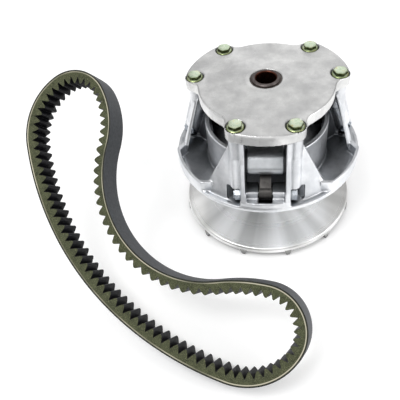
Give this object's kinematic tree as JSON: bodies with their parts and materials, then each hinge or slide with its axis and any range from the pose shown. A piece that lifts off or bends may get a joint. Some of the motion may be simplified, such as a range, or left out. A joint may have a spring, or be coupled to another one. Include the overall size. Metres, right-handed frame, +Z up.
{
  "type": "cvt pulley set",
  "caption": "Drive clutch of a belt transmission with sliding sheave, spider, swinging weights and bolted cover, and its loose cogged V-belt.",
  "frame": {"origin": "on the clutch's shaft axis at the bottom face of the fixed sheave's hub", "axes": "+Z up along the shaft towards the cover, one tower faces -Y, the belt lies to the -X and -Y side"},
  "size_m": [0.3687, 0.3698, 0.1898],
  "materials": {
    "shaft_steel": "turned and ground steel, dark oiled bore",
    "turned_aluminium": "belt face turned bright, back as cast",
    "cast_aluminium": "die cast and tumbled, satin",
    "cover_aluminium": "die cast, faced and tumbled",
    "black_nylon": "moulded black nylon",
    "roller_steel": "hardened and ground",
    "weight_steel": "hardened, dark oxide",
    "spring_steel": "dark coated spring wire",
    "bushing_bronze": "lined bronze bushing",
    "yellow_zinc": "yellow passivated zinc with a green tint",
    "clear_zinc": "clear zinc plating",
    "belt_rubber": "olive flecked flanks, black cogs, smooth grey back"
  },
  "bodies": {
    "fixed_half": {"post": "shaft_steel", "fixed_sheave": "turned_aluminium", "spider": "cast_aluminium", "limiter_washers": "shaft_steel", "roller_pins": "shaft_steel", "spider_buttons": "black_nylon", "primary_spring": "spring_steel"},
    "moving_half": {"moving_sheave": "cast_aluminium", "sheave_bushing": "bushing_bronze", "cover": "cover_aluminium", "cover_bushing": "bushing_bronze", "cover_bolts": "yellow_zinc", "weight_bolts": "clear_zinc", "weight_nuts": "clear_zinc"},
    "weight_1_body": {"weight_1": "weight_steel"},
    "roller_1_body": {"roller_1": "roller_steel"},
    "weight_2_body": {"weight_2": "weight_steel"},
    "roller_2_body": {"roller_2": "roller_steel"},
    "weight_3_body": {"weight_3": "weight_steel"},
    "roller_3_body": {"roller_3": "roller_steel"},
    "belt_body": {"drive_belt": "belt_rubber"}
  },
  "joints": [
    {"name": "sheave_slide", "type": "slide", "parent": "fixed_half", "child": "moving_half", "axis": [0, 0, -1], "range_m": [0, 0.03], "deforming": ["primary_spring"]},
    {"name": "weight_1_swing", "type": "hinge", "parent": "moving_half", "child": "weight_1_body", "pos_m": [0, -0.087, 0.0965], "axis": [1, 0, 0], "range_deg": [0, 45]},
    {"name": "roller_1_spin", "type": "hinge", "parent": "fixed_half", "child": "roller_1_body", "pos_m": [0, -0.0695, 0.126], "axis": [1, 0, 0], "continuous": true},
    {"name": "weight_2_swing", "type": "hinge", "parent": "moving_half", "child": "weight_2_body", "pos_m": [0.07534, 0.0435, 0.0965], "axis": [-0.5, 0.866, 0], "range_deg": [0, 45]},
    {"name": "roller_2_spin", "type": "hinge", "parent": "fixed_half", "child": "roller_2_body", "pos_m": [0.06019, 0.03475, 0.126], "axis": [-0.5, 0.866, 0], "continuous": true},
    {"name": "weight_3_swing", "type": "hinge", "parent": "moving_half", "child": "weight_3_body", "pos_m": [-0.07534, 0.0435, 0.0965], "axis": [-0.5, -0.866, 0], "range_deg": [0, 45]},
    {"name": "roller_3_spin", "type": "hinge", "parent": "fixed_half", "child": "roller_3_body", "pos_m": [-0.06019, 0.03475, 0.126], "axis": [-0.5, -0.866, 0], "continuous": true},
    {"name": "belt_lift", "type": "slide", "parent": "fixed_half", "child": "belt_body", "axis": [-0.1945, -0.5985, 0.7771], "range_m": [0, 0.15]}
  ],
  "couplings": [
    {"joint": "weight_1_swing", "follows": "sheave_slide", "rad_per_m": 26.18},
    {"joint": "weight_2_swing", "follows": "sheave_slide", "rad_per_m": 26.18},
    {"joint": "weight_3_swing", "follows": "sheave_slide", "rad_per_m": 26.18}
  ]
}
